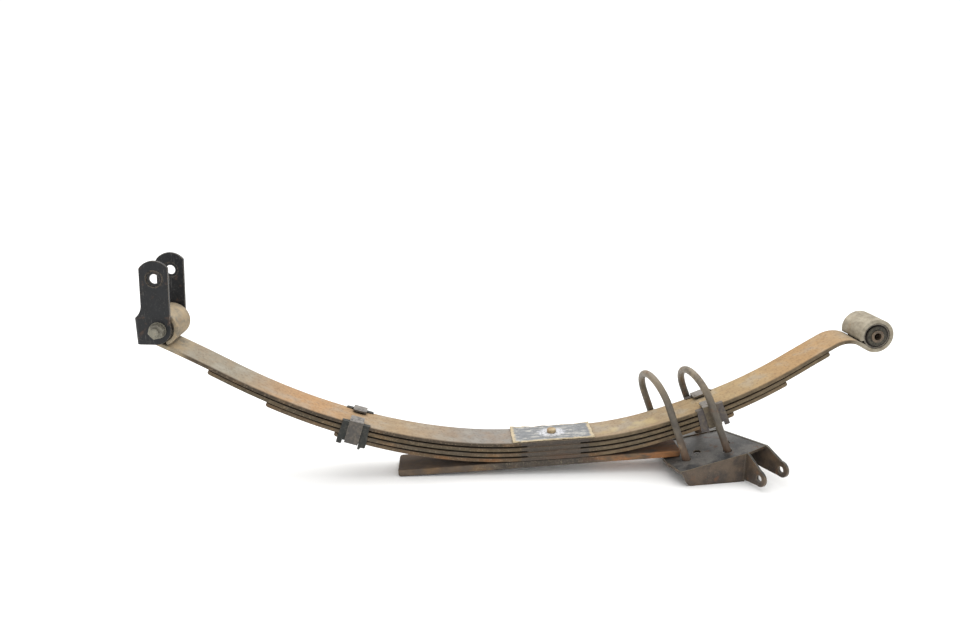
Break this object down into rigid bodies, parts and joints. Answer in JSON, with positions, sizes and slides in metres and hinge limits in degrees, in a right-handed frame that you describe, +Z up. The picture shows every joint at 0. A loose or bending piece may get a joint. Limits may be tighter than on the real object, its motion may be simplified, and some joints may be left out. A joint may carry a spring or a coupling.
{
  "type": "leaf spring assembly",
  "caption": "Curved multi-leaf rear suspension spring with rolled eyes, rubber bushes, swinging shackle, rebound clips, overload leaf, loose U-bolts and damper bracket.",
  "frame": {"origin": "centre of the front eye's bolt bore, midway along it", "axes": "+X along the spring towards the front (fixed) eye and past it, +Y along the eye bore away from the damper ears' side, +Z up"},
  "size_m": [1.2215, 0.1733, 0.373],
  "materials": {
    "spring_steel": "worn, dusty, lightly rusted",
    "galvanised_sheet": "worn thin sheet",
    "rusted_fixing": "rusted",
    "liner_plastic": "dusty moulded",
    "clip_steel": "worn dark paint",
    "bush_shell_steel": "dark, oxidised",
    "bush_rubber": "dusty grey",
    "sleeve_steel": "lightly rusted",
    "black_paint": "satin black, scuffed",
    "plated_fixing": "dull plated",
    "bracket_steel": "worn, dusty, rusted at the edges",
    "rod_steel": "rusted"
  },
  "bodies": {
    "spring_pack": {"main_leaf": "spring_steel", "second_leaf": "spring_steel", "third_leaf": "spring_steel", "fourth_leaf": "spring_steel", "overload_leaf": "spring_steel", "centre_shim": "spring_steel", "seat_pad": "galvanised_sheet", "centre_bolt": "rusted_fixing", "centre_bolt_nut": "rusted_fixing", "rear_clip_liner": "liner_plastic", "rear_clip_strap": "clip_steel", "rear_clip_rivet": "rusted_fixing", "rear_bush_shell": "bush_shell_steel", "rear_bush_rubber": "bush_rubber", "front_clip_liner": "liner_plastic", "front_clip_strap": "clip_steel", "front_clip_rivet": "rusted_fixing", "front_bush_shell": "bush_shell_steel", "front_bush_rubber": "bush_rubber", "shock_bracket": "bracket_steel"},
    "shackle_set": {"shackle": "black_paint", "shackle_washer": "plated_fixing", "shackle_bolt": "plated_fixing", "shackle_nut": "plated_fixing", "rear_bush_sleeve": "sleeve_steel"},
    "front_sleeve": {"front_bush_sleeve": "sleeve_steel"},
    "rear_ubolt": {"ubolt_rear": "rod_steel"},
    "fore_ubolt": {"ubolt_front": "rod_steel"}
  },
  "joints": [
    {"name": "shackle_swing", "type": "hinge", "parent": "spring_pack", "child": "shackle_set", "pos_m": [-1.15767, 0, 0.02625], "axis": [0, 1, 0], "range_deg": [-40, 50], "stiffness_Nm_per_rad": 60},
    {"name": "front_bush_twist", "type": "hinge", "parent": "spring_pack", "child": "front_sleeve", "pos_m": [0, 0, 0], "axis": [0, 1, 0], "range_deg": [-30, 30], "stiffness_Nm_per_rad": 60},
    {"name": "ubolt_rear_lift", "type": "slide", "parent": "spring_pack", "child": "rear_ubolt", "axis": [-0.3502, 0, 0.9367], "range_m": [0, 0.015]},
    {"name": "ubolt_front_lift", "type": "slide", "parent": "spring_pack", "child": "fore_ubolt", "axis": [-0.3746, 0, 0.9272], "range_m": [0, 0.03]}
  ]
}
